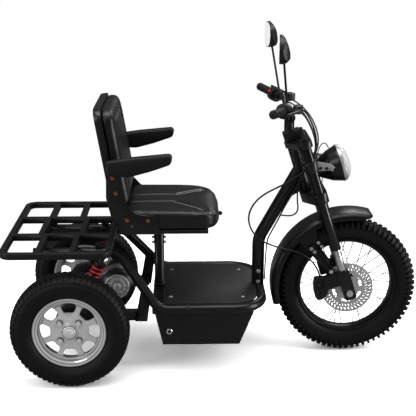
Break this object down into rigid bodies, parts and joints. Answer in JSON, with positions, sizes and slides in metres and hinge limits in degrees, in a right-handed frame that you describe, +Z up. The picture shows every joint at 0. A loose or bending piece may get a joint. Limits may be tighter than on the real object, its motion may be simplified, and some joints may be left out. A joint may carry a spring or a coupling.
{
  "type": "electric tricycle",
  "caption": "Electric tricycle with a padded seat, folding armrests, flat footboard over a battery box, rear rack, spoked front wheel and alloy rear wheels.",
  "frame": {"origin": "on the floor under the middle of the tricycle's box", "axes": "+X forward, +Y to the rider's left, +Z up"},
  "size_m": [1.6324, 0.711, 1.3266],
  "materials": {
    "frame_paint": "satin black paint",
    "deck_paint": "fine textured black coat",
    "rack_paint": "matt black powder coat",
    "seat_vinyl": "grained black vinyl",
    "armrest_vinyl": "moulded black skin",
    "seat_shell": "black moulded shell",
    "black_plastic": "matt black moulding",
    "tyre_rubber": "matt black rubber",
    "polished_alloy": "polished cast alloy",
    "cast_alloy": "rough cast alloy",
    "chrome": "bright plated",
    "steel": "bright ground steel",
    "spring_red": "gloss red coat",
    "brake_black": "satin black",
    "fork_gloss": "gloss black",
    "fender_gloss": "black moulding, low gloss",
    "grip_rubber": "black ribbed rubber",
    "lamp_gloss": "gloss black",
    "lamp_lens": "clear domed lens",
    "lamp_bracket": "grey pressed steel",
    "mirror_face": "mirror glass"
  },
  "bodies": {
    "chassis": {"frame_loop": "frame_paint", "frame_crossmembers": "frame_paint", "steering_column": "frame_paint", "footboard": "deck_paint", "battery_box": "frame_paint", "battery_pack": "black_plastic", "box_lock": "chrome", "rear_rack": "rack_paint", "rack_posts": "rack_paint", "seat_post": "frame_paint", "seat_base": "frame_paint", "seat_cushion": "seat_vinyl", "seat_back_shell": "seat_shell", "seat_back_cushion": "seat_vinyl", "seat_brackets": "frame_paint", "swing_arms": "frame_paint", "swing_pivots": "frame_paint", "rear_axle": "frame_paint", "gear_case": "cast_alloy", "drive_motor": "cast_alloy", "shock_dampers": "steel", "shock_springs": "spring_red"},
    "armrest_right": {"armrest_right": "armrest_vinyl"},
    "armrest_left": {"armrest_left": "armrest_vinyl"},
    "rear_wheel_right": {"rear_tyre_right": "tyre_rubber", "rear_rim_right": "polished_alloy", "rear_hub_right": "brake_black"},
    "rear_wheel_left": {"rear_tyre_left": "tyre_rubber", "rear_rim_left": "polished_alloy", "rear_hub_left": "brake_black"},
    "front_wheel": {"front_tyre": "tyre_rubber", "front_rim": "fender_gloss", "front_hub": "brake_black", "front_spokes": "chrome", "front_disc": "steel"},
    "steering": {"fork_yokes": "frame_paint", "fork_legs": "fork_gloss", "fork_sliders": "chrome", "fork_castings": "frame_paint", "front_axle": "steel", "front_caliper": "brake_black", "front_fender": "fender_gloss", "fender_straps": "frame_paint", "handlebar": "frame_paint", "handlebar_riser": "frame_paint", "grips": "grip_rubber", "switch_pods": "black_plastic", "brake_levers": "brake_black", "mirror_right": "black_plastic", "mirror_left": "black_plastic", "mirror_glass": "mirror_face", "headlamp_shell": "lamp_gloss", "headlamp_ring": "chrome", "headlamp_lens": "lamp_lens", "headlamp_brackets": "lamp_bracket", "brake_hose_upper": "black_plastic", "brake_hose_lower": "black_plastic", "column_cables": "black_plastic", "control_cable": "black_plastic", "lamp_leads": "black_plastic"}
  },
  "joints": [
    {"name": "steering_turn", "type": "hinge", "parent": "chassis", "child": "steering", "pos_m": [0.49176, 0, 0.27404], "axis": [-0.309, 0, 0.9511], "range_deg": [-40, 40], "deforming": ["brake_hose_upper", "brake_hose_lower", "column_cables"]},
    {"name": "front_wheel_spin", "type": "hinge", "parent": "steering", "child": "front_wheel", "pos_m": [0.5298, 0, 0.2864], "axis": [0, 1, 0], "continuous": true},
    {"name": "rear_wheel_right_spin", "type": "hinge", "parent": "chassis", "child": "rear_wheel_right", "pos_m": [-0.5662, -0.303, 0.2275], "axis": [0, 1, 0], "continuous": true},
    {"name": "rear_wheel_left_spin", "type": "hinge", "parent": "chassis", "child": "rear_wheel_left", "pos_m": [-0.5662, 0.303, 0.2275], "axis": [0, 1, 0], "continuous": true},
    {"name": "armrest_right_fold", "type": "hinge", "parent": "chassis", "child": "armrest_right", "pos_m": [-0.3882, -0.238, 0.84], "axis": [0, -1, 0], "range_deg": [0, 95]},
    {"name": "armrest_left_fold", "type": "hinge", "parent": "chassis", "child": "armrest_left", "pos_m": [-0.3882, 0.238, 0.84], "axis": [0, -1, 0], "range_deg": [0, 95]}
  ]
}
